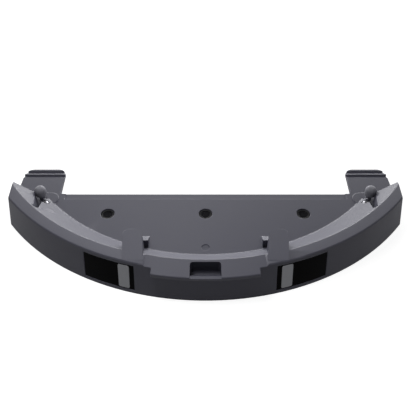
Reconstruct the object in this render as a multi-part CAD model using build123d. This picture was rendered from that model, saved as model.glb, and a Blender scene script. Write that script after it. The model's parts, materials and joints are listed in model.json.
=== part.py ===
from build123d import *
import math
import os

# Mop pad holder for a round robot vacuum, in millimetres. While it is built, the arc of its rim is
# centred on the origin, the rim faces -Y, the tabs point to +Y, and the wall's foot is at z = 0.
# The saved pieces are moved along Y, so that the origin lies under the middle of the whole part.

# rim section, as radii and heights
wall_foot_radius = 175.0
wall_lean = 4.9
rim_height = 23.5
band_width = 7.6
crest_drop = 0.4
slope_run = 17.7
wall = 2.4
roof_wall = 2.8
edge_bevel = 0.6
crest_bevel = 0.5
foot_bevel = 0.7

# floor and plan
floor_bottom = 3.0
floor_wall = 2.3
side_foot = 132.6
side_lean = 4.95
side_splay_angle = 6.3
rim_rear = -94.8
strip_width = 5.4
strip_drop = 0.6

# tabs, with two shallow cross grooves near their ends
tab_width = 30.4
tab_overhang = 1.1
tab_outer_splay = 0.9
tab_inner_splay = 1.4
tab_length = 26.4
tab_overlap = 7.6
tab_inset = 4.0
tab_corner = 6.0
tab_root_round = 1.6
tab_side_round = 1.0
tab_grooves_from_end = (9.7, 5.3)
tab_groove_depth = 1.0
tab_groove_slope = 2.1
tab_groove_length = 3.1

# grip ledge and its lip
ledge_half = 35.8
ledge_drop = 1.2
ledge_step = 1.1
ledge_reach = 11.5
lip_half = 30.9
lip_overhang = 4.9
lip_thickness = 2.4
lip_gusset = 3.3
lip_bevel = 0.5

# raised pads on both sides of the ledge
pad_overlap = 0.2
pad_width = 11.8
pad_splay = 3.0
pad_setback = 0.5
pad_length = 23.7
pad_corner = 3.6
least_corner = 0.6

# finger pocket behind the lip, with a sill at its front
pocket_half = 8.9
pocket_setback = 0.9
pocket_depth = 9.9
pocket_wall = 2.0
pocket_corner = 1.8
pocket_back_round = 2.6
pocket_knee_round = 2.0
pocket_toe = 5.5
pocket_knee = 3.7
sill_depth = 2.1
sill_drop = 0.7
sill_edge = 0.3

# snap wedges and the slots in front of them
snap_from_pad = 0.6
snap_width = 6.0
snap_setback = 7.5
snap_length = 7.8
snap_height = 4.8
snap_flat = 0.7
snap_root = 1.8
slot_margin = 0.3
slot_width = 4.3
slot_length = 1.7

# water outlets with their seals and filters
outlet_x = 66.7
outlet_y = -109.1
outlet_radius = 4.6
fit = 0.1
seal_width = 1.2
seal_drop = 0.6
filter_drop = 0.6
filter_hole = 0.6
filter_pitch = 1.75
drain_radius = 2.6

# round mark on the floor
mark_y = -138.8
mark_radius = 2.5
mark_depth = 0.45

# rubber pegs on low oval seats
peg_from_side = 18.4
peg_y = -94.9
peg_head = 3.8
peg_top = 16.2
peg_head_height = 6.4
peg_shank = 2.1
peg_dome = 2.4
peg_dome_steps = 2
peg_bottom = 3.2
peg_room = 0.3
seat_half = 4.5
seat_radius = 6.4
seat_rise = 0.4
seat_bevel = 0.36

# guide slots cut into the rim's ends, as corners counted from the peg's centre
guide_slot = ((5.3, 4.9), (-0.2, 4.9), (-7.0, -25.0), (-4.1, -24.0))
guide_round = 0.8
guide_wall = 1.8

# end screws, placed from the peg's centre
screw_from_peg = (-4.0, -7.7)
screw_seat = 7.6
screw_pocket = 3.1
boss_wall = 1.3
screw_head = 2.5
screw_head_height = 2.1
screw_shank = 1.45
screw_tip = 1.2
screw_turn_angle = 30.0
cross_length = 3.0
cross_width = 0.75
cross_depth = 0.9

# contact windows in the wall, as angles from the centre line in degrees
window_near_angle = 13.9
window_far_angle = 24.8
window_bottom = 2.4
window_top_margin = 2.6
window_gap = 0.15
window_inset = 0.35
window_flange = 1.2
flange_reach_angle = 0.7

# metal contact bars in the windows
bar_angle_from_edge = 2.15
bar_width = 6.9
bar_margin = 0.8
bar_corner = 0.7
bar_inset = 0.05
bar_thickness = 0.9
bar_leg_width = 2.4
bar_leg_height = 1.2
bar_leg_length = 3.45
bar_leg_overlap = 0.2
bar_leg_spacing = 8.8

# base plate and its gripping strips
base_bottom = 1.0
base_gap = 0.3
grip_bottom = 0.2
grip_width = 24.0
grip_corner = 4.0
centre_grip_length = 82.0
centre_grip_from_foot = 34.0
side_grip_length = 46.0
side_grip_from_side = 49.6
side_grip_from_foot = 20.7629
side_grip_lag_angle = 12.5559

# what follows from the sizes above
wall_top_radius = wall_foot_radius - wall_lean
crest_radius = wall_top_radius - band_width
crest_height = rim_height - crest_drop
slope_foot_radius = crest_radius - slope_run
rim_roof = crest_height - roof_wall
floor_top = floor_bottom + floor_wall
corner_y = -math.sqrt(wall_foot_radius**2 - side_foot**2)
side_splay = math.tan(math.radians(side_splay_angle))
chord = rim_rear + strip_width
strip_top = floor_top - strip_drop
tab_end = chord + tab_length
ledge_height = rim_height - ledge_drop
lip_radius = wall_top_radius + lip_overhang
lip_bottom = ledge_height - lip_thickness
pad_inner = ledge_half - pad_overlap
pad_outer = pad_inner + pad_width
pad_front = -(crest_radius + pad_setback)
pad_back = pad_front + pad_length
pocket_back = -(crest_radius + pocket_setback)
pocket_front = -(lip_radius - sill_depth)
pocket_floor = ledge_height - pocket_depth
pocket_sill = ledge_height - sill_drop
seal_radius = outlet_radius - fit
seal_bore = seal_radius - seal_width
seal_top = floor_top - seal_drop
filter_radius = seal_bore - fit
filter_top = seal_top - filter_drop
peg_x = side_foot - peg_from_side
peg_seat = floor_top + seat_rise
screw_x = peg_x + screw_from_peg[0]
screw_y = peg_y + screw_from_peg[1]
centre_grip_y = centre_grip_from_foot - wall_foot_radius
side_grip_x = side_foot - side_grip_from_side
side_grip_y = -math.sqrt((wall_foot_radius - side_grip_from_foot) ** 2 - side_grip_x**2)
side_grip_angle = math.degrees(math.atan2(side_grip_x, -side_grip_y)) - side_grip_lag_angle
window_top = rim_height - window_top_margin
bar_angle = window_near_angle + bar_angle_from_edge
bar_middle = (window_bottom + window_top) / 2
bar_length = window_top - window_bottom - 2 * bar_margin
wall_slope = wall_lean / rim_height
side_slope = side_lean / rim_height
slope_angle = math.atan2(crest_height - floor_top, slope_run)
beyond = 5.0
far = 2 * wall_foot_radius
inner_radius = -chord - beyond
rear_shift = (max(wall_foot_radius, lip_radius) - tab_end) / 2
sides = (("left", -1), ("right", 1))
outlet_spots = (("left", -outlet_x), ("centre", 0.0), ("right", outlet_x))


def wall_at(z):
    return wall_foot_radius - wall_slope * z


# height of the inner slope at a radius
def slope_at(radius):
    return floor_top + (radius - slope_foot_radius) * math.tan(slope_angle)


def outline(points, rounds=()):
    face = make_face(Polyline(*points, close=True))
    for spot, radius in rounds:
        corner = face.vertices().sort_by_distance((spot[0], spot[1], 0))[0]
        face = fillet(corner, radius)
    return face


# a ring about the arc's centre, from points of radius and height
def turned(points, rounds=()):
    return revolve(Plane.XZ * outline(points, rounds), axis=Axis.Z)


def raised(points, low, high, rounds=()):
    return extrude(Plane.XY.offset(low) * outline(points, rounds), amount=high - low, dir=(0, 0, 1))


# a bar along X, from points of y and z
def crosswise(points, left, right, rounds=()):
    return extrude(Plane.YZ.offset(left) * outline(points, rounds), amount=right - left, dir=(1, 0, 0))


def block(x0, x1, y0, y1, z0, z1):
    middle = Pos((x0 + x1) / 2, (y0 + y1) / 2, (z0 + z1) / 2)
    return middle * Box(abs(x1 - x0), abs(y1 - y0), abs(z1 - z0))


def disc(x, y, radius, low, high):
    return Pos(x, y, (low + high) / 2) * Cylinder(radius, high - low)


# everything in front of a plane across the rear and between the two sides, which spread to the rear
# and lean inwards
def between_sides(inset, rear):
    form = block(-far, far, -far, rear, -beyond, rim_height + beyond)
    for name, side in sides:
        inwards = (-side, side_splay, -side_slope)
        plane = Plane(origin=(side * (side_foot - inset), corner_y, 0), z_dir=inwards)
        form = form & extrude(plane * Rectangle(2 * far, 2 * far), amount=far)
    return form


# a slice of the rim between two angles from the centre line, on the side of the given sign
def sector(near, distant, side):
    corners = [(0.0, 0.0)]
    for angle in (near, distant):
        turn = math.radians(angle)
        corners.append((side * far * math.sin(turn), -far * math.cos(turn)))
    return raised(corners, -beyond, rim_height + beyond)


# a band of the leaning wall between two depths below its outer face
def wall_band(outer_depth, inner_depth, low, high):
    return turned([
        (wall_at(low) - inner_depth, low),
        (wall_at(low) - outer_depth, low),
        (wall_at(high) - outer_depth, high),
        (wall_at(high) - inner_depth, high),
    ])


# a bar that runs outwards through the wall at the contact's angle
def radial_bar(side, width, height, middle, corner):
    turn = math.radians(bar_angle)
    outwards = (side * math.sin(turn), -math.cos(turn), 0)
    across = (math.cos(turn), side * math.sin(turn), 0)
    plane = Plane(origin=(0, 0, middle), x_dir=across, z_dir=outwards)
    face = Rectangle(width, height)
    if corner:
        face = chamfer(face.vertices(), corner)
    return extrude(plane * face, amount=far, dir=outwards)


# plan of a raised pad, with its sides leaning outwards to the rear
def pad_plan(inset, side):
    corner = max(pad_corner - inset, least_corner)
    back = pad_back - inset
    points = [
        (side * (pad_inner + inset), pad_front),
        (side * (pad_inner + pad_splay + inset), back),
        (side * (pad_outer + pad_splay - inset), back),
        (side * (pad_outer - inset), pad_front),
    ]
    return points, ((points[1], corner), (points[2], corner))


# plan of a guide slot, grown by a wall all round except at its open rear
def guide_plan(side, growth):
    points = []
    for (from_peg, along), outward in zip(guide_slot, (1, -1, -1, 1)):
        y = peg_y + along
        if y < rim_rear:
            y -= growth
        points.append((side * (peg_x + from_peg + outward * growth), y))
    radius = guide_round + growth / 2
    return points, ((points[2], radius), (points[3], radius))


def rim_form():
    rim = turned([
        (inner_radius, 0.0),
        (wall_foot_radius, 0.0),
        (wall_at(rim_height - edge_bevel), rim_height - edge_bevel),
        (wall_top_radius - edge_bevel, rim_height),
        (crest_radius + crest_bevel, crest_height),
        (crest_radius - crest_bevel, slope_at(crest_radius - crest_bevel)),
        (slope_foot_radius + foot_bevel, slope_at(slope_foot_radius + foot_bevel)),
        (slope_foot_radius - foot_bevel, floor_top),
        (inner_radius, floor_top),
    ])
    strip = turned([
        (inner_radius, 0.0),
        (wall_foot_radius, 0.0),
        (wall_at(strip_top), strip_top),
        (inner_radius, strip_top),
    ])
    return (rim & between_sides(0.0, rim_rear)) + (strip & between_sides(0.0, chord))


def raised_pads():
    reach = wall_top_radius - edge_bevel
    limit = turned([(0.0, 0.0), (reach, 0.0), (reach, rim_height), (0.0, rim_height)])
    pads = []
    for name, side in sides:
        points, rounds = pad_plan(0.0, side)
        pads.append(raised(points, floor_bottom, rim_height, rounds) & limit)
    return pads


# what is taken off above the grip ledge, with a slanted step at each end
def above_ledge():
    face = outline([
        (-ledge_half + ledge_step, ledge_height),
        (ledge_half - ledge_step, ledge_height),
        (ledge_half, rim_height + fit),
        (-ledge_half, rim_height + fit),
    ])
    start = crest_radius - ledge_reach
    return extrude(Plane.XZ.offset(start) * face, amount=far - start, dir=(0, -1, 0))


# the lip stands out over the wall on a slanted underside
def ledge_lip():
    gusset_foot = lip_bottom - lip_gusset
    root = crest_radius + wall
    ring = turned([
        (root, gusset_foot),
        (wall_at(gusset_foot) - edge_bevel, gusset_foot),
        (lip_radius, lip_bottom),
        (lip_radius, ledge_height - lip_bevel),
        (lip_radius - lip_bevel, ledge_height),
        (root, ledge_height),
    ])
    return ring & block(-lip_half, lip_half, -far, -root / 2, 0.0, rim_height)


def tab(side):
    outer_root = side * (side_foot + tab_overhang)
    outer_tip = outer_root + side * tab_outer_splay
    inner_root = outer_root - side * tab_width
    inner_tip = inner_root + side * tab_inner_splay
    start = chord - tab_overlap
    plan = raised(
        [
            (inner_root - side * tab_inset, start),
            (outer_root, start),
            (outer_tip, tab_end),
            (inner_tip, tab_end),
            (inner_root, chord),
            (inner_root - side * tab_inset, chord),
        ],
        floor_bottom,
        floor_top,
        (
            ((outer_root, start), tab_side_round),
            ((outer_tip, tab_end), tab_corner),
            ((inner_tip, tab_end), tab_corner),
            ((inner_root, chord), tab_root_round),
        ),
    )
    bottom = floor_top - tab_groove_depth
    for distance in tab_grooves_from_end:
        front = tab_end - distance
        back = front + tab_groove_length
        groove = [(front, floor_top), (front + tab_groove_slope, bottom), (back, bottom), (back, floor_top)]
        plan -= crosswise(groove, -far, far)
    return plan


# low oval seat round a peg, with a bevelled edge
def peg_seat_pad(side):
    plan = SlotOverall(2 * (seat_half + seat_radius), 2 * seat_radius)
    pad = extrude(plan, amount=peg_seat - floor_bottom)
    pad = chamfer(pad.edges().group_by(Axis.Z)[-1], seat_bevel)
    return Pos(side * peg_x, peg_y, floor_bottom) * pad


# the recess for the base plate, open below
def base_recess():
    form = turned([
        (inner_radius - beyond, -beyond),
        (wall_at(-beyond) - wall, -beyond),
        (wall_at(floor_bottom) - wall, floor_bottom),
        (inner_radius - beyond, floor_bottom),
    ])
    return form & between_sides(wall, chord - wall)


# the hollow under the rim and the pads, less what closes the pocket, the slots and the screws
def rim_hollow():
    low = floor_bottom - fit
    foot = slope_foot_radius + wall / math.sin(slope_angle) - (floor_top - low) / math.tan(slope_angle)
    crest = foot + (rim_roof - low) / math.tan(slope_angle)
    form = turned([
        (foot, low),
        (wall_at(low) - wall, low),
        (wall_at(rim_roof) - wall, rim_roof),
        (crest, rim_roof),
    ])
    form = form & between_sides(wall, rim_rear - wall)
    for name, side in sides:
        points, rounds = pad_plan(wall, side)
        form += raised(points, low, rim_roof, rounds)
    closed_half = pocket_half + pocket_wall
    form -= block(
        -closed_half, closed_half, -far, pocket_back + pocket_wall, pocket_floor - pocket_wall, rim_height
    )
    for name, side in sides:
        points, rounds = guide_plan(side, guide_wall)
        form -= raised(points, 0.0, rim_height, rounds)
        form -= disc(side * peg_x, peg_y, peg_head + peg_room + guide_wall, 0.0, rim_height)
        form -= disc(side * screw_x, screw_y, screw_pocket + boss_wall, 0.0, rim_height)
    return form


# upright back, flat floor, and a front that leans out under the sill
def finger_pocket():
    toe = pocket_front + pocket_toe
    knee = pocket_front + pocket_knee
    knee_height = pocket_sill - sill_edge - pocket_knee
    form = crosswise(
        [
            (pocket_back, rim_height),
            (pocket_back, pocket_floor),
            (toe, pocket_floor),
            (knee, knee_height),
            (pocket_front, pocket_sill - sill_edge),
            (pocket_front, rim_height),
        ],
        -pocket_half,
        pocket_half,
        (((pocket_back, pocket_floor), pocket_back_round), ((knee, knee_height), pocket_knee_round)),
    )
    corners = ((-pocket_half, pocket_back), (pocket_half, pocket_back))
    form &= raised(
        [*corners, (pocket_half, -far), (-pocket_half, -far)],
        0.0,
        rim_height,
        tuple((corner, pocket_corner) for corner in corners),
    )
    sill = block(-pocket_half, pocket_half, -far, pocket_front + fit, pocket_sill, rim_height)
    return form + sill


# a snap wedge and the slot through the floor in front of it
def snap_wedge(side):
    near = pad_inner + snap_from_pad
    front = -(slope_foot_radius - snap_setback)
    back = front + snap_length
    top = floor_top + snap_height
    low = floor_top - snap_root
    edges = sorted((side * near, side * (near + snap_width)))
    profile = [(front, low), (front, top), (front + snap_flat, top), (back, floor_top), (back, low)]
    slot_near = side * (near + slot_margin)
    slot_distant = side * (near + slot_margin + slot_width)
    slot = block(slot_near, slot_distant, front - slot_length, front, 0.0, floor_top + fit)
    return crosswise(profile, *edges), slot


def holder_shell():
    shell = rim_form()
    for pad in raised_pads():
        shell += pad
    shell -= above_ledge()
    shell += ledge_lip()
    for name, side in sides:
        shell += tab(side)
        shell += peg_seat_pad(side)
    shell -= base_recess()
    shell -= rim_hollow()
    shell -= finger_pocket()
    for name, side in sides:
        wedge, slot = snap_wedge(side)
        shell += wedge
        shell -= slot
        points, rounds = guide_plan(side, 0.0)
        seat = disc(side * screw_x, screw_y, screw_pocket, 0.0, screw_seat)
        shell -= raised(points, peg_seat, rim_height + beyond, rounds) - seat
        shell -= disc(side * peg_x, peg_y, peg_head + peg_room, peg_seat, rim_height)
        shell -= disc(side * peg_x, peg_y, peg_shank, 0.0, rim_height)
        shell -= disc(side * screw_x, screw_y, screw_pocket, screw_seat, rim_height)
        shell -= disc(side * screw_x, screw_y, screw_shank + fit, 0.0, rim_height)
        opening = sector(window_near_angle, window_far_angle, side)
        shell -= opening & wall_band(-beyond, wall, window_bottom, window_top)
    for name, x in outlet_spots:
        shell -= disc(x, outlet_y, outlet_radius, 0.0, floor_top + beyond)
    shell -= disc(0.0, mark_y, mark_radius, floor_top - mark_depth, floor_top + beyond)
    return shell


# a window panel with a flange behind the wall, and the bar that clips into it on two legs
def contact_window(side):
    gap = math.degrees(window_gap / wall_foot_radius)
    low = window_bottom + window_gap
    high = window_top - window_gap
    panel = sector(window_near_angle + gap, window_far_angle - gap, side)
    panel = panel & wall_band(window_inset, wall, low, high)
    flange = sector(window_near_angle - flange_reach_angle, window_far_angle + flange_reach_angle, side)
    panel += flange & wall_band(wall, wall + window_flange, floor_bottom + fit, rim_roof - fit)
    bar_back = bar_inset + bar_thickness
    groove = wall_band(-beyond, bar_back, window_bottom, window_top)
    panel -= groove & radial_bar(side, bar_width + 2 * fit, bar_length + 2 * fit, bar_middle, bar_corner)
    bar = wall_band(bar_inset, bar_back, window_bottom, window_top)
    bar = bar & radial_bar(side, bar_width, bar_length, bar_middle, bar_corner)
    leg_depths = (bar_back - bar_leg_overlap, bar_back + bar_leg_length)
    leg_band = wall_band(*leg_depths, window_bottom, window_top)
    for sign in (-1, 1):
        middle = bar_middle + sign * bar_leg_spacing / 2
        bar += leg_band & radial_bar(side, bar_leg_width, bar_leg_height, middle, 0)
        panel -= radial_bar(side, bar_leg_width + 2 * fit, bar_leg_height + 2 * fit, middle, 0)
    return panel, bar


# it closes the hollow from below and takes the screws and the drains
def base_plate():
    edge = wall_at(floor_bottom) - wall - base_gap
    plate = turned([
        (inner_radius, base_bottom),
        (edge, base_bottom),
        (edge, floor_bottom),
        (inner_radius, floor_bottom),
    ])
    plate = plate & between_sides(wall + base_gap + side_slope * floor_bottom, chord - wall - base_gap)
    for name, side in sides:
        plate -= disc(side * screw_x, screw_y, screw_shank, 0.0, rim_height)
    for name, x in outlet_spots:
        plate -= disc(x, outlet_y, drain_radius, 0.0, rim_height)
    return plate


def grip_strip(x, y, length, turn):
    strip = extrude(RectangleRounded(length, grip_width, grip_corner), amount=base_bottom - grip_bottom)
    return Pos(x, y, grip_bottom) * Rot(0, 0, turn) * strip


def outlet_seal(x):
    seal = disc(x, outlet_y, seal_radius, floor_bottom, seal_top)
    return seal - disc(x, outlet_y, seal_bore, 0.0, floor_top)


# a plug with six-sided holes, one in its middle and six round it
def outlet_filter(x):
    plug = disc(x, outlet_y, filter_radius, floor_bottom, filter_top)
    spots = [(x, outlet_y)]
    for step in range(6):
        turn = math.pi / 3 * step
        spots.append((x + filter_pitch * math.cos(turn), outlet_y + filter_pitch * math.sin(turn)))
    for spot in spots:
        plug -= extrude(Pos(*spot, 0) * RegularPolygon(filter_hole, 6), amount=floor_top)
    return plug


def rubber_peg(side):
    head_bottom = peg_top - peg_head_height
    profile = [
        (0.0, peg_bottom),
        (peg_shank, peg_bottom),
        (peg_shank, head_bottom),
        (peg_head, head_bottom),
    ]
    for step in range(peg_dome_steps + 1):
        turn = math.pi / 2 * step / peg_dome_steps
        shoulder = peg_head - peg_dome + peg_dome * math.cos(turn)
        profile.append((shoulder, peg_top - peg_dome + peg_dome * math.sin(turn)))
    return Pos(side * peg_x, peg_y, 0) * turned([*profile, (0.0, peg_top)])


def end_screw(side):
    top = screw_seat + screw_head_height
    screw = turned([
        (0.0, screw_tip),
        (screw_shank, screw_tip),
        (screw_shank, screw_seat),
        (screw_head, screw_seat),
        (screw_head, top),
        (0.0, top),
    ])
    for length, width in ((cross_length, cross_width), (cross_width, cross_length)):
        screw -= Pos(0, 0, top) * Box(length, width, 2 * cross_depth)
    return Pos(side * screw_x, screw_y, 0) * Rot(0, 0, side * screw_turn_angle) * screw


def save(shape, name):
    export_step(Pos(0, rear_shift, 0) * shape, "parts/" + name + ".step")


os.makedirs("parts", exist_ok=True)
save(holder_shell(), "holder_shell")
save(base_plate(), "base_plate")
save(Compound([end_screw(side) for name, side in sides]), "end_screws")
for name, side in sides:
    window, bar = contact_window(side)
    save(window, "contact_window_" + name)
    save(bar, "contact_bar_" + name)
    save(rubber_peg(side), "rubber_peg_" + name)
    strip = grip_strip(side * side_grip_x, side_grip_y, side_grip_length, side * side_grip_angle)
    save(strip, "grip_strip_" + name)
for name, x in outlet_spots:
    save(outlet_seal(x), "outlet_seal_" + name)
    save(outlet_filter(x), "outlet_filter_" + name)
save(grip_strip(0.0, centre_grip_y, centre_grip_length, 0.0), "grip_strip_centre")
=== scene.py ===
import json
import math
import bmesh
import bpy
from mathutils import Matrix, Vector


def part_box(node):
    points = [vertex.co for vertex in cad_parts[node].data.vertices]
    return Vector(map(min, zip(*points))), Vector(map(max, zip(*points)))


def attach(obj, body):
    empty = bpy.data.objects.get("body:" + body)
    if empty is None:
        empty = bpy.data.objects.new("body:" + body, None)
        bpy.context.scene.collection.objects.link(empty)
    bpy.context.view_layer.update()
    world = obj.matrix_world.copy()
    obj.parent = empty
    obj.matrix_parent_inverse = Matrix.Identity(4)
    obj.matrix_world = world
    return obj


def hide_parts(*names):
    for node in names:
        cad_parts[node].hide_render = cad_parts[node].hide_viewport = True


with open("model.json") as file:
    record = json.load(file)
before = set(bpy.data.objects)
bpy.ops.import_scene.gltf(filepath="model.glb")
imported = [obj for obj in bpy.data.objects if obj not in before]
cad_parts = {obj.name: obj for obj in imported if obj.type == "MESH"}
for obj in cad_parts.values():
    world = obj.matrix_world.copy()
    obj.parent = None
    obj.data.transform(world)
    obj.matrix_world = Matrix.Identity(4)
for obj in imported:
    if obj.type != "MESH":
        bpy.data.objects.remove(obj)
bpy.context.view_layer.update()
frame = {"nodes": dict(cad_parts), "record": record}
mm = 0.001
scene = bpy.context.scene


# a shader socket that can be added, multiplied and compared
class Wire:
    def __init__(self, tree, socket):
        self.tree = tree
        self.socket = socket

    def sum(self, operation, *values):
        return addNode(self.tree, "ShaderNodeMath", dict(operation=operation), dict(enumerate(values)))

    def __add__(self, other):
        return self.sum("ADD", self, other)

    def __radd__(self, other):
        return self.sum("ADD", other, self)

    def __sub__(self, other):
        return self.sum("SUBTRACT", self, other)

    def __rsub__(self, other):
        return self.sum("SUBTRACT", other, self)

    def __mul__(self, other):
        return self.sum("MULTIPLY", self, other)

    def __rmul__(self, other):
        return self.sum("MULTIPLY", other, self)

    def __gt__(self, other):
        return self.sum("GREATER_THAN", self, other)


# adds any node: its settings first, then the values or links of its sockets
def addNode(tree, kind, settings=None, sockets=None, output=0):
    node = tree.nodes.new(kind)
    for key, value in (settings or {}).items():
        setattr(node, key, value)
    for key, value in (sockets or {}).items():
        if isinstance(value, Wire):
            tree.links.new(value.socket, node.inputs[key])
        else:
            node.inputs[key].default_value = value
    return Wire(tree, node.outputs[output])


# a material whose patterns are laid out in millimetres on the object
class Finish:
    def __init__(self, name, **constants):
        self.material = bpy.data.materials.new(name)
        self.material.use_nodes = True
        self.tree = self.material.node_tree
        self.shader = self.tree.nodes["Principled BSDF"]
        for key, value in constants.items():
            self.shader.inputs[socketNames[key]].default_value = value
        place = addNode(self.tree, "ShaderNodeTexCoord", output=3)
        self.place = addNode(self.tree, "ShaderNodeMapping", {}, {0: place, 3: (1000, 1000, 1000)})

    def add(self, kind, settings=None, sockets=None, output=0):
        return addNode(self.tree, kind, settings, sockets, output)

    def stretched(self, scale):
        return self.add("ShaderNodeMapping", {}, {0: self.place, 3: scale})

    def noise(self, grain, detail=3.0, place=None):
        sockets = {"Vector": place or self.place, "Scale": 1.0 / grain, "Detail": detail}
        return self.add("ShaderNodeTexNoise", {}, sockets)

    def cells(self, size, place=None):
        return self.add("ShaderNodeTexVoronoi", {}, {"Vector": place or self.place, "Scale": 1.0 / size})

    def between(self, factor, first, second):
        sockets = {0: factor, 6: (*first, 1), 7: (*second, 1)}
        return self.add("ShaderNodeMix", dict(data_type="RGBA"), sockets, 2)

    # noise lies mostly between 0.3 and 0.7
    def spread(self, value, low, high):
        return self.add("ShaderNodeMapRange", {}, {0: value, 1: 0.3, 2: 0.7, 3: low, 4: high})

    def bump(self, height, depth, strength=1.0):
        sockets = {"Height": height, "Distance": depth * mm, "Strength": strength}
        return self.add("ShaderNodeBump", {}, sockets)

    def feed(self, **links):
        for key, value in links.items():
            self.tree.links.new(value.socket, self.shader.inputs[socketNames[key]])
        return self.material


socketNames = dict(
    colour="Base Color", roughness="Roughness", metallic="Metallic", normal="Normal",
    specular="Specular IOR Level",
)


def shades(colour, change):
    return tuple(c * (1 - change) for c in colour), tuple(c * (1 + change) for c in colour)


# grained satin plastic
def moulded(name, look):
    finish = Finish(name, specular=look["specular"])
    grain = finish.noise(look["grain"], 2.0)
    broad = finish.noise(look["broad"], 3.0)
    fine = finish.cells(look["grain"] * 1.6)
    return finish.feed(
        colour=finish.between(broad, *shades(look["colour"], look["change"])),
        roughness=finish.spread(broad * 0.6 + grain * 0.4, *look["roughness"]),
        normal=finish.bump(grain + fine * 0.5, look["depth"]),
    )


def rubber(name, look):
    finish = Finish(name, specular=look["specular"])
    mottle = finish.noise(look["mottle"], 4.0)
    fine = finish.noise(look["grain"], 2.0)
    return finish.feed(
        colour=finish.between(mottle, *shades(look["colour"], look["change"])),
        roughness=finish.spread(mottle, *look["roughness"]),
        normal=finish.bump(mottle * 0.6 + fine * 0.4, look["depth"]),
    )


# metal with fine lines along one axis
def lined(name, look):
    finish = Finish(name)
    lines = finish.noise(look["grain"], 2.0, finish.stretched(look["lines"]))
    cloud = finish.noise(look["cloud"], 2.0)
    return finish.feed(
        colour=finish.between(lines, *shades(look["colour"], look["change"])),
        roughness=finish.spread(lines * 0.5 + cloud * 0.5, *look["roughness"]),
        metallic=finish.spread(cloud, *look["metallic"]),
        normal=finish.bump(lines, look["depth"]),
    )


looks = dict(
    shell=dict(colour=(0.074, 0.074, 0.098), change=0.05, roughness=(0.46, 0.54), specular=0.3,
               grain=0.28, broad=14.0, depth=0.012),
    base=dict(colour=(0.07, 0.07, 0.082), change=0.06, roughness=(0.45, 0.55), specular=0.35,
              grain=0.35, broad=10.0, depth=0.015),
    window=dict(colour=(0.0014, 0.0014, 0.002), change=0.3, roughness=(0.14, 0.2), specular=0.02,
                grain=0.6, broad=6.0, depth=0.001),
    peg=dict(colour=(0.23, 0.23, 0.26), change=0.16, roughness=(0.55, 0.72), specular=0.3,
             mottle=0.9, grain=0.25, depth=0.03),
    seal=dict(colour=(0.005, 0.005, 0.006), change=0.2, roughness=(0.4, 0.55), specular=0.16,
              mottle=1.2, grain=0.2, depth=0.01),
    filter=dict(colour=(0.012, 0.012, 0.015), change=0.15, roughness=(0.5, 0.6), specular=0.14,
                mottle=0.5, grain=0.1, depth=0.005),
    grip=dict(colour=(0.075, 0.075, 0.083), change=0.15, roughness=(0.6, 0.75), specular=0.3,
              mottle=1.5, grain=0.3, depth=0.02),
    bar=dict(colour=(0.185, 0.188, 0.2), change=0.08, roughness=(0.42, 0.52), metallic=(0.85, 0.95),
             lines=(1.0, 1.0, 0.05), grain=0.12, cloud=3.0, depth=0.004),
    screw=dict(colour=(0.28, 0.28, 0.3), change=0.08, roughness=(0.34, 0.44), metallic=(0.92, 1.0),
               lines=(1.0, 1.0, 1.0), grain=0.15, cloud=0.8, depth=0.006),
)
makers = dict(
    shell=moulded, base=moulded, window=moulded, peg=rubber, seal=rubber, filter=rubber,
    grip=rubber, bar=lined, screw=lined,
)
finishes = {slot: makers[slot](slot, look) for slot, look in looks.items()}
print("finishes:", ", ".join(finishes))


def newPiece(name, mesh):
    piece = bpy.data.objects.new(name, mesh)
    scene.collection.objects.link(piece)
    return piece


def setUp(piece, slot, *nodes):
    piece.data.materials.clear()
    piece.data.materials.append(finishes[slot])
    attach(piece, "root")
    if nodes:
        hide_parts(*nodes)
    return piece


# a merged copy of a node's mesh, with the flat triangles joined up
def mergedCopy(node):
    mesh = bmesh.new()
    mesh.from_mesh(frame["nodes"][node].data)
    bmesh.ops.remove_doubles(mesh, verts=mesh.verts, dist=0.0005 * mm)
    bmesh.ops.dissolve_limit(mesh, angle_limit=math.radians(0.4), verts=mesh.verts, edges=mesh.edges)
    return mesh


def asMesh(mesh, name, smoothAngle=32):
    data = bpy.data.meshes.new(name)
    mesh.to_mesh(data)
    mesh.free()
    data.shade_smooth()
    data.set_sharp_from_angle(angle=math.radians(smoothAngle))
    return data


# how far the rounding of an edge may reach into its two faces, in metres
def roomBeside(edge):
    start = edge.verts[0].co
    along = (edge.verts[1].co - start).normalized()
    reach = []
    for face in edge.link_faces:
        offsets = [corner.co - start for corner in face.verts]
        reach.append(max((offset - along * offset.dot(along)).length for offset in offsets))
    return min(reach) * 0.45


def crossing(a, b, c, d):
    def turn(p, q, r):
        return (q[0] - p[0]) * (r[1] - p[1]) - (q[1] - p[1]) * (r[0] - p[0])
    return turn(a, b, c) * turn(a, b, d) < 0 and turn(c, d, a) * turn(c, d, b) < 0


# where the rounded mesh folds over itself: small faces that lie upside down, and edges of large faces
# that cross another one a few edges on
def foldsIn(mesh, tiny=2e-9, fewCorners=6, lookAhead=8):
    spots = []
    outlines = {}
    for loops in mesh.calc_loop_triangles():
        corners = [loop.vert.co for loop in loops]
        across = (corners[1] - corners[0]).cross(corners[2] - corners[0])
        face = loops[0].face
        if across.dot(face.normal) < 0 and across.length > tiny:
            if len(face.verts) <= fewCorners:
                spots += [corner.copy() for corner in corners]
            else:
                outlines[face.index] = face
    for face in outlines.values():
        flat = max(range(3), key=lambda axis: abs(face.normal[axis]))
        points = [vert.co for vert in face.verts]
        plan = [[value for axis, value in enumerate(point) if axis != flat] for point in points]
        count = len(plan)
        found = []
        for first in range(count):
            for second in range(first + 2, min(first + lookAhead + 1, count + first - 1)):
                ends = [first, (first + 1) % count, second % count, (second + 1) % count]
                if crossing(*[plan[end] for end in ends]):
                    found.append(points[ends[0]].copy())
                    found.append(points[ends[2]].copy())
        spots += found
    return list({tuple(round(value / mm, 1) for value in spot): spot for spot in spots}.values())


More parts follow.
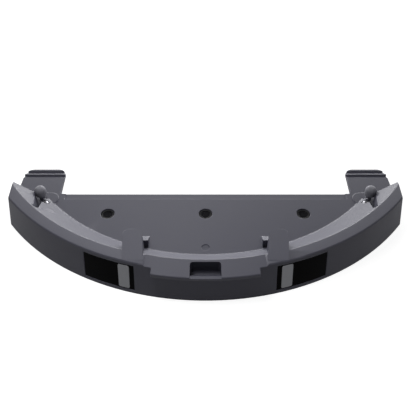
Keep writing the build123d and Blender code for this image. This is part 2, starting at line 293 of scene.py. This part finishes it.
def distanceTo(spot, edge):
    start, end = (vert.co for vert in edge.verts)
    share = (spot - start).dot(end - start) / max((end - start).length_squared, 1e-18)
    return (start + (end - start) * min(max(share, 0), 1) - spot).length


# a real mesh of what the modifiers make, kept inside the node's box
def settled(piece, node):
    low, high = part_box(node)
    evaluated = piece.evaluated_get(bpy.context.evaluated_depsgraph_get())
    data = bpy.data.meshes.new_from_object(evaluated)
    for vertex in data.vertices:
        vertex.co = [min(max(value, low[axis]), high[axis]) for axis, value in enumerate(vertex.co)]
    piece.modifiers.clear()
    piece.data = data
    return piece


softening = dict(segments=2, angle=32, tries=14, lastTries=4, nearReach=2.5, farReach=4)


# rounds every edge sharper than the angle, and less where faces are narrow. Near a fold the rounding is
# halved at each try, and left out in the last ones.
def softened(node, width):
    tries = softening["tries"]
    angle = math.radians(softening["angle"])
    mesh = mergedCopy(node)
    weights = mesh.edges.layers.float.new("bevel_weight_edge")
    sharp = [edge for edge in mesh.edges if edge.calc_face_angle(0) > angle]
    for edge in sharp:
        edge[weights] = min(1, roomBeside(edge) / (width * mm))
    piece = newPiece(node + "_soft", bpy.data.meshes.new(node + "_soft"))
    bevel = piece.modifiers.new("edges", "BEVEL")
    bevel.limit_method = "WEIGHT"
    bevel.width = width * mm
    bevel.segments = softening["segments"]
    bevel.use_clamp_overlap = False
    for attempt in range(tries):
        mesh.to_mesh(piece.data)
        piece.data.update()
        rounded = bmesh.new()
        rounded.from_object(piece, bpy.context.evaluated_depsgraph_get())
        folds = foldsIn(rounded)
        rounded.free()
        if not folds:
            break
        reach = softening["nearReach" if attempt < tries / 2 else "farReach"] * width * mm
        for edge in sharp:
            if edge[weights] and any(distanceTo(spot, edge) < reach for spot in folds):
                last = attempt >= tries - softening["lastTries"]
                edge[weights] = 0 if last else edge[weights] * 0.5
    print(node, "rounded after", attempt + 1, "tries,", len(folds), "folds left")
    mesh.free()
    piece.data.shade_smooth()
    piece.data.set_sharp_from_angle(angle=angle)
    weigh = piece.modifiers.new("normals", "WEIGHTED_NORMAL")
    weigh.keep_sharp = True
    return settled(piece, node)


def roundOf(steps):
    return [2 * math.pi * step / steps for step in range(steps)]


def cornerAt(mesh, centre, radius, height, turn):
    x = centre[0] + radius * math.cos(turn)
    y = centre[1] + radius * math.sin(turn)
    return mesh.verts.new((x * mm, y * mm, height * mm))


# faces between each ring and the next; a ring of one corner closes the form
def joinRings(mesh, rings):
    for lower, upper in zip(rings, rings[1:]):
        steps = max(len(lower), len(upper))
        for step in range(steps):
            following = (step + 1) % steps
            corners = [lower[step % len(lower)], lower[following % len(lower)],
                       upper[following % len(upper)], upper[step % len(upper)]]
            mesh.faces.new(list(dict.fromkeys(corners)))


# a turned form from points of radius and height in millimetres, closed where it meets the axis
def lathe(mesh, profile, centre, steps):
    rings = []
    for radius, height in profile:
        turns = [0] if radius < 1e-6 else roundOf(steps)
        rings.append([cornerAt(mesh, centre, radius, height, turn) for turn in turns])
    joinRings(mesh, rings)


# points of an arc in a profile, from one angle to another in degrees
def arc(centre, radii, start, end, steps):
    points = []
    for step in range(steps + 1):
        turn = math.radians(start + (end - start) * step / steps)
        points.append((centre[0] + radii[0] * math.cos(turn), centre[1] + radii[1] * math.sin(turn)))
    return points


def middleOf(node):
    low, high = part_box(node)
    return ((low + high) / 2) / mm, low / mm, high / mm


# shell, base plate, windows and bars keep their form, with softer edges
shell = setUp(softened("holder_shell", 0.3), "shell", "holder_shell")
print("shell:", len(shell.data.polygons), "faces")

for name, slot, width in (
    ("base_plate", "base", 0.25),
    ("contact_window_left", "window", 0.1),
    ("contact_window_right", "window", 0.1),
    ("contact_bar_left", "bar", 0.12),
    ("contact_bar_right", "bar", 0.12),
):
    setUp(softened(name, width), slot, name)
print("plate, windows and bars done")


pegs = dict(head=3.8, headHeight=6.4, shank=2.1, dome=2.6, rim=0.6, steps=48)

for side in ("left", "right"):
    node = "rubber_peg_" + side
    middle, low, high = middleOf(node)
    under = high.z - pegs["headHeight"]
    flat = pegs["head"] - pegs["dome"]
    mesh = bmesh.new()
    profile = [(0, low.z), (pegs["shank"], low.z), (pegs["shank"], under)]
    profile += arc((pegs["head"] - pegs["rim"], under + pegs["rim"]), (pegs["rim"],) * 2, -90, 0, 5)
    profile += arc((flat, high.z - pegs["dome"]), (pegs["dome"],) * 2, 0, 90, 10)
    lathe(mesh, profile + [(0, high.z)], (middle.x, middle.y), pegs["steps"])
    setUp(newPiece("peg_" + side, asMesh(mesh, "peg_" + side, 50)), "peg", node)
print("pegs done")


seals = dict(wall=1.2, rounding=0.35, steps=56)
for spot in ("left", "centre", "right"):
    node = "outlet_seal_" + spot
    middle, low, high = middleOf(node)
    outer = (high.x - low.x) / 2
    inner = outer - seals["wall"]
    r = seals["rounding"]
    mesh = bmesh.new()
    profile = [(inner, low.z), (outer, low.z)]
    profile += arc((outer - r, high.z - r), (r, r), 0, 90, 4)
    profile += arc((inner + r, high.z - r), (r, r), 90, 180, 4)
    lathe(mesh, profile + [(inner, low.z)], (middle.x, middle.y), seals["steps"])
    bmesh.ops.remove_doubles(mesh, verts=mesh.verts, dist=0.001 * mm)
    setUp(newPiece("seal_" + spot, asMesh(mesh, "seal_" + spot, 40)), "seal", node)
print("seals done")


# a skin of rows round an axis, where place gives the radius and height of a row at a turn
def wrapped(mesh, rows, steps, place, centre):
    rings = []
    for row in rows:
        rings.append([cornerAt(mesh, centre, *place(row, turn), turn) for turn in roundOf(steps)])
    joinRings(mesh, rings)
    bmesh.ops.remove_doubles(mesh, verts=mesh.verts, dist=0.0001 * mm)


screws = dict(spots=((-110.2, 16.4), (110.2, 16.4)), turns=(-30, 30), seat=7.6, head=2.5, brim=0.7,
              core=1.1, tip=1.2, blunt=0.25, thread=0.32, pitch=0.9, slender=3.4, roundness=2.6,
              crossHalf=1.35, crossWidth=0.36, crossDepth=1.0, crossRise=0.35, steps=72,
              threadRows=44, underRows=(1.6, 2.2, 2.42), sideRows=(0.1, 0.55), headRows=30)


# 0 up to low, 1 from high on, and a smooth rise between them
def smooth(value, low, high):
    share = min(max((value - low) / (high - low), 0), 1)
    return share * share * (3 - 2 * share)


# from the tip up the thread, out under the head, over its dome and into the cross recess; the short
# lengths written out are millimetres over which one form runs into the next
def screwMesh(mesh, centre, turnAngle, top):
    tip, seat, head, brim = (screws[key] for key in ("tip", "seat", "head", "brim"))
    half, width = screws["crossHalf"], screws["crossWidth"]

    def onThread(height, turn):
        share = (height / screws["pitch"] - turn / (2 * math.pi)) % 1
        ridge = screws["thread"] * max(0, 1 - abs(share - 0.5) * screws["slender"])
        taper = smooth(height, tip, tip + 1.6) * (1 - smooth(height, seat - 0.9, seat - 0.5))
        point = screws["blunt"] + (1 - screws["blunt"]) * smooth(height, tip - 0.6, tip + 1.2)
        return screws["core"] * point + ridge * taper

    def onHead(radius, turn):
        share = radius / head
        dome = seat + brim + (top - seat - brim) * math.sqrt(max(0, 1 - share ** screws["roundness"]))
        angle = turn - math.radians(turnAngle)
        near, far = sorted((abs(radius * math.cos(angle)), abs(radius * math.sin(angle))))
        inside = 1 - smooth(near, width - 0.07, width + 0.07)
        inside *= 1 - smooth(far, half - 0.12, half + 0.1)
        return dome - screws["crossDepth"] * inside * (1 - screws["crossRise"] * far / half)

    def place(row, turn):
        kind, value = row
        if kind == "point":
            return 0, tip
        if kind == "thread":
            return onThread(value, turn), value
        if kind == "under":
            return value, seat
        if kind == "side":
            return head, seat + value
        return value, onHead(value, turn)

    threadRows, headRows = screws["threadRows"], screws["headRows"]
    rows = [("point", 0)]
    rows += [("thread", tip + (seat - tip) * step / threadRows) for step in range(threadRows + 1)]
    rows += [("under", radius) for radius in screws["underRows"]]
    rows += [("side", height) for height in screws["sideRows"]]
    rows += [("head", head * math.cos(math.pi / 2 * step / headRows)) for step in range(headRows + 1)]
    wrapped(mesh, rows, screws["steps"], place, centre)


mesh = bmesh.new()
top = middleOf("end_screws")[2].z
for centre, turnAngle in zip(screws["spots"], screws["turns"]):
    screwMesh(mesh, centre, turnAngle, top)
bmesh.ops.recalc_face_normals(mesh, faces=mesh.faces)
setUp(newPiece("screws", asMesh(mesh, "screws", 50)), "screw", "end_screws")
print("screws done")


# a Geometry Nodes tree with named inputs, and a short way to add its nodes
class Recipe:
    def __init__(self, name, **inputs):
        self.tree = bpy.data.node_groups.new(name, "GeometryNodeTree")
        self.tree.interface.new_socket("Geometry", in_out="INPUT", socket_type="NodeSocketGeometry")
        self.tree.interface.new_socket("Geometry", in_out="OUTPUT", socket_type="NodeSocketGeometry")
        self.keys = {}
        for key, value in inputs.items():
            kind = "NodeSocketInt" if isinstance(value, int) else "NodeSocketFloat"
            socket = self.tree.interface.new_socket(key, in_out="INPUT", socket_type=kind)
            self.keys[key] = (socket.identifier, value)
        self.entry = self.tree.nodes.new("NodeGroupInput")

    def value(self, name):
        return Wire(self.tree, self.entry.outputs[name])

    def add(self, kind, settings=None, sockets=None, output=0):
        return addNode(self.tree, kind, settings, sockets, output)

    def vector(self, x=0.0, y=0.0, z=0.0):
        return self.add("ShaderNodeCombineXYZ", {}, {0: x, 1: y, 2: z})

    def reckon(self, operation, *values, output=0):
        settings, sockets = dict(operation=operation), dict(enumerate(values))
        return self.add("ShaderNodeVectorMath", settings, sockets, output)

    def tube(self, curve, sides, radius):
        ring = self.add("GeometryNodeCurvePrimitiveCircle", {}, {"Resolution": sides, "Radius": radius})
        sockets = {"Curve": curve, "Profile Curve": ring, "Fill Caps": True}
        return self.add("GeometryNodeCurveToMesh", {}, sockets)

    def joined(self, *parts):
        node = self.tree.nodes.new("GeometryNodeJoinGeometry")
        for part in parts:
            self.tree.links.new(part.socket, node.inputs[0])
        return Wire(self.tree, node.outputs[0])

    # realizes what was made, gives it its material and hands it out
    def finishWith(self, geometry, material):
        geometry = self.add("GeometryNodeRealizeInstances", {}, {0: geometry})
        geometry = self.add("GeometryNodeSetMaterial", {}, {0: geometry, "Material": material})
        out = self.tree.nodes.new("NodeGroupOutput")
        self.tree.links.new(geometry.socket, out.inputs[0])

    # what the tree makes of a mesh, moved to its place, as a plain mesh
    def grow(self, name, start, place):
        piece = newPiece(name, start)
        modifier = piece.modifiers.new("made", "NODES")
        modifier.node_group = self.tree
        for identifier, value in self.keys.values():
            modifier[identifier] = value
        evaluated = piece.evaluated_get(bpy.context.evaluated_depsgraph_get())
        data = bpy.data.meshes.new_from_object(evaluated)
        piece.modifiers.clear()
        data.transform(place)
        piece.data = data
        return piece


# woven screens over a felt disc in the outlets: waved wires one way, and the same turned a quarter
# and upside down
screens = dict(reach=2.86, pitch=0.52, wire=0.12, wave=0.11, points=30, level=3.72, rim=3.2,
               rimInner=2.72, felt=0.3, rounding=0.2, steps=48)


def screenRecipe():
    recipe = Recipe("wovenScreen", pitch=screens["pitch"] * mm, reach=screens["reach"] * mm,
                    wire=screens["wire"] * mm, wave=screens["wave"] * mm, points=screens["points"])
    pitch, reach, wave = (recipe.value(key) for key in ("pitch", "reach", "wave"))
    rows = int(screens["reach"] / screens["pitch"]) * 2 + 1
    half = (rows - 1) / 2
    line = recipe.add("GeometryNodeMeshLine", dict(mode="OFFSET"), {
        "Count": rows, "Start Location": recipe.vector(0.0, pitch * -half, 0.0),
        "Offset": recipe.vector(0.0, pitch, 0.0)})
    wire = recipe.add("GeometryNodeCurvePrimitiveLine", {}, {"Start": (-1, 0, 0), "End": (1, 0, 0)})
    wire = recipe.add("GeometryNodeResampleCurve", {}, {"Curve": wire, "Count": recipe.value("points")})
    wires = recipe.add("GeometryNodeInstanceOnPoints", {}, {"Points": line, "Instance": wire})
    wires = recipe.add("GeometryNodeRealizeInstances", {}, {0: wires})
    place = recipe.add("GeometryNodeInputPosition")
    split = recipe.tree.nodes.new("ShaderNodeSeparateXYZ")
    recipe.tree.links.new(place.socket, split.inputs[0])
    x, y = Wire(recipe.tree, split.outputs[0]), Wire(recipe.tree, split.outputs[1])
    inside = reach * reach - y * y
    along = x * inside.sum("SQRT", inside)  # each wire ends at the rim
    turn = (along + y) * math.pi
    turn = turn.sum("DIVIDE", turn, pitch)
    height = wave * turn.sum("COSINE", turn)
    wires = recipe.add("GeometryNodeSetPosition", {}, {
        "Geometry": wires, "Position": recipe.vector(along, y, height)})
    tubes = recipe.tube(wires, 6, recipe.value("wire"))
    turned = recipe.add("GeometryNodeTransform", {}, {
        "Geometry": tubes, "Rotation": (math.pi, 0, math.pi / 2)})
    recipe.finishWith(recipe.joined(tubes, turned), finishes["filter"])
    return recipe


weave = screenRecipe()
for spot in ("left", "centre", "right"):
    node = "outlet_filter_" + spot
    middle, low, high = middleOf(node)
    place = Matrix.Translation(Vector((middle.x, middle.y, screens["level"])) * mm)
    piece = weave.grow("screen_" + spot, bpy.data.meshes.new("screen"), place)
    mesh = bmesh.new()
    r = screens["rounding"]
    profile = [(0, low.z), (screens["rim"], low.z)]
    profile += arc((screens["rim"] - r, high.z - r), (r, r), 0, 90, 4)
    profile += arc((screens["rimInner"] + r, high.z - r), (r, r), 90, 180, 4)
    feltTop = low.z + screens["felt"]
    profile += [(screens["rimInner"], feltTop), (0, feltTop)]
    lathe(mesh, profile, (middle.x, middle.y), screens["steps"])
    mesh.from_mesh(piece.data)
    piece.data = asMesh(mesh, "screen_" + spot, 40)
    setUp(piece, "filter", node)
print("outlet screens done:", len(piece.data.polygons), "faces each")


# hook strips: a thin backing with rows of small bent hooks below it
hooks = dict(pitch=1.5, thickness=0.085, stem=0.36, bend=0.13, lean=0.2, edge=1.2, backing=0.3,
             corner=4.0, seed=3, points=8, curl=144, spare=0.2,
             sizes=dict(centre=(82.0, 24.0), left=(46.0, 24.0), right=(46.0, 24.0)),
             turns=dict(centre=0, left=-20, right=20))


# the bent hook is a curve: its first point is the root, and the others lie on part of a circle
def hookRecipe(length, width):
    recipe = Recipe("hookField", pitch=hooks["pitch"] * mm, thickness=hooks["thickness"] * mm,
                    stem=hooks["stem"] * mm, bend=hooks["bend"] * mm,
                    lean=hooks["lean"], seed=hooks["seed"])
    pitch, stem, bend = (recipe.value(key) for key in ("pitch", "stem", "bend"))
    columns = int((length - 2 * hooks["edge"]) / hooks["pitch"])
    rows = int((width - 2 * hooks["edge"]) / hooks["pitch"])
    grid = recipe.add("GeometryNodeMeshGrid", {}, {
        "Size X": pitch * columns, "Size Y": pitch * rows,
        "Vertices X": columns + 1, "Vertices Y": rows + 1})
    place = recipe.add("GeometryNodeInputPosition")
    size = recipe.reckon("ABSOLUTE", place)
    inset = ((length / 2 - hooks["corner"]) * mm, (width / 2 - hooks["corner"]) * mm, 0.0)
    beyond = recipe.reckon("MAXIMUM", recipe.reckon("SUBTRACT", size, recipe.vector(*inset)), (0, 0, 0))
    beyond = recipe.reckon("LENGTH", beyond, output=1)
    spots = recipe.add("GeometryNodeDeleteGeometry", dict(domain="POINT"), {
        "Geometry": grid, "Selection": beyond > (hooks["corner"] - hooks["edge"] + hooks["spare"]) * mm})
    line = recipe.add("GeometryNodeMeshLine", dict(mode="OFFSET"), {
        "Count": hooks["points"], "Offset": (0, 0, 0)})
    curve = recipe.add("GeometryNodeMeshToCurve", {}, {0: line})
    index = recipe.add("GeometryNodeInputIndex")
    turn = (index - 1) * (math.radians(hooks["curl"]) / (hooks["points"] - 2))
    past = index > 0.5  # 0 at the root, 1 at the other points
    across = bend * (1 - turn.sum("COSINE", turn)) * past
    down = (stem + bend * turn.sum("SINE", turn)) * past
    curve = recipe.add("GeometryNodeSetPosition", {}, {
        "Geometry": curve, "Position": recipe.vector(across, 0.0, down * -1)})
    hook = recipe.tube(curve, 4, recipe.value("thickness"))
    lean = recipe.value("lean")
    spin = recipe.add("FunctionNodeRandomValue", dict(data_type="FLOAT_VECTOR"), {
        0: recipe.vector(0.0, 0.0, lean * -1), 1: recipe.vector(0.0, 0.0, lean),
        "Seed": recipe.value("seed")})
    field = recipe.add("GeometryNodeInstanceOnPoints", {}, {
        "Points": spots, "Instance": hook, "Rotation": spin})
    recipe.finishWith(recipe.joined(field, recipe.value("Geometry")), finishes["grip"])
    return recipe


# the backing, a rounded slab whose underside is at height 0
def backingMesh(length, width, edge=0.08, steps=8):
    mesh = bmesh.new()
    levels = ((edge, 0.0), (0.0, edge), (0.0, hooks["backing"] - edge), (edge, hooks["backing"]))
    rings = []
    for inset, height in levels:
        ring = []
        for quarter, signs in enumerate(((1, 1), (-1, 1), (-1, -1), (1, -1))):
            for step in range(steps + 1):
                turn = math.pi / 2 * (quarter + step / steps)
                x = signs[0] * (length / 2 - hooks["corner"]) + (hooks["corner"] - inset) * math.cos(turn)
                y = signs[1] * (width / 2 - hooks["corner"]) + (hooks["corner"] - inset) * math.sin(turn)
                ring.append(mesh.verts.new((x * mm, y * mm, height * mm)))
        rings.append(ring)
    mesh.faces.new(reversed(rings[0]))
    mesh.faces.new(rings[-1])
    joinRings(mesh, rings)
    return asMesh(mesh, "backing", 60)


for spot, (length, width) in hooks["sizes"].items():
    node = "grip_strip_" + spot
    middle, low, high = middleOf(node)
    place = Matrix.Translation(Vector((middle.x, middle.y, high.z - hooks["backing"])) * mm)
    place = place @ Matrix.Rotation(math.radians(hooks["turns"][spot]), 4, "Z")
    piece = hookRecipe(length, width).grow("hooks_" + spot, backingMesh(length, width), place)
    setUp(piece, "grip", node)
    print("hook strip", spot, "done:", len(piece.data.polygons), "faces")


# the camera fitted to the photograph, and lamps fitted to its tones
cameraPlace = dict(eye=(0.0, -0.2009, 0.2256), elevation=45.55, lens=38.73, shiftX=0.006)
lamps = [
    dict(name="lowRear", place=(0.0, 0.9, 0.11), size=(1.6, 0.18), power=13.0),
    dict(name="midRear", place=(0.0, 0.9, 0.45), size=(0.9, 0.3), power=0.8),
    dict(name="highRear", place=(-0.06, 0.27, 0.38), size=(0.2, 0.12), power=0.36),
    dict(name="nearLeft", place=(-0.05, -0.03, 0.20), size=(0.05, 0.05), power=0.13),
]
# the sky is seen white but lights little; the floor glows only where it is seen, so shadows stay
sky = dict(lighting=0.08, seen=1.0)
ground = dict(colour=0.5, seen=0.9, glossy=0.45)


def aimed(place):
    return (-Vector(place)).to_track_quat("-Z", "Y").to_euler()


def raysOf(tree, *names):
    rays = tree.nodes.new("ShaderNodeLightPath")
    return [Wire(tree, rays.outputs[name]) for name in names]


for lamp in lamps:
    data = bpy.data.lights.new(lamp["name"], "AREA")
    data.shape = "RECTANGLE"
    data.size, data.size_y = lamp["size"]
    data.energy = lamp["power"]
    light = bpy.data.objects.new(lamp["name"], data)
    light.location = lamp["place"]
    light.rotation_euler = aimed(lamp["place"])
    light.visible_camera = False
    scene.collection.objects.link(light)

world = bpy.data.worlds.new("studio")
scene.world = world
world.use_nodes = True
tree = world.node_tree
direct, mirrored, through = raysOf(tree, "Is Camera Ray", "Is Glossy Ray", "Is Transmission Ray")
seen = direct.sum("MAXIMUM", direct.sum("MAXIMUM", direct, mirrored), through)
strength = seen * (sky["seen"] - sky["lighting"]) + sky["lighting"]
tree.links.new(strength.socket, tree.nodes["Background"].inputs["Strength"])
tree.nodes["Background"].inputs["Color"].default_value = (1, 1, 1, 1)

mesh = bmesh.new()
bmesh.ops.create_grid(mesh, x_segments=1, y_segments=1, size=4.0)
floor = newPiece("floor", asMesh(mesh, "floor"))
material = bpy.data.materials.new("floor")
material.use_nodes = True
tree = material.node_tree
shader = tree.nodes["Principled BSDF"]
shader.inputs["Base Color"].default_value = (ground["colour"],) * 3 + (1,)
shader.inputs["Roughness"].default_value = 0.9
shader.inputs["Specular IOR Level"].default_value = 0.1
shader.inputs["Emission Color"].default_value = (1, 1, 1, 1)
direct, mirrored = raysOf(tree, "Is Camera Ray", "Is Glossy Ray")
glow = direct * ground["seen"] + mirrored * ground["glossy"]
tree.links.new(glow.socket, shader.inputs["Emission Strength"])
floor.data.materials.append(material)

cameraData = bpy.data.cameras.new("camera")
cameraData.lens = cameraPlace["lens"]
cameraData.shift_x = cameraPlace["shiftX"]
cameraData.clip_start = 0.01
camera = bpy.data.objects.new("camera", cameraData)
camera.location = cameraPlace["eye"]
camera.rotation_euler = (math.radians(90 - cameraPlace["elevation"]), 0, 0)
scene.collection.objects.link(camera)
scene.camera = camera
scene.view_settings.view_transform = "Standard"
print("studio done")

for node, obj in frame["nodes"].items():
    slot = next(part["material_slot"] for part in frame["record"]["subparts"] if part["node"] == node)
    obj.data.materials.clear()
    obj.data.materials.append(finishes[slot])
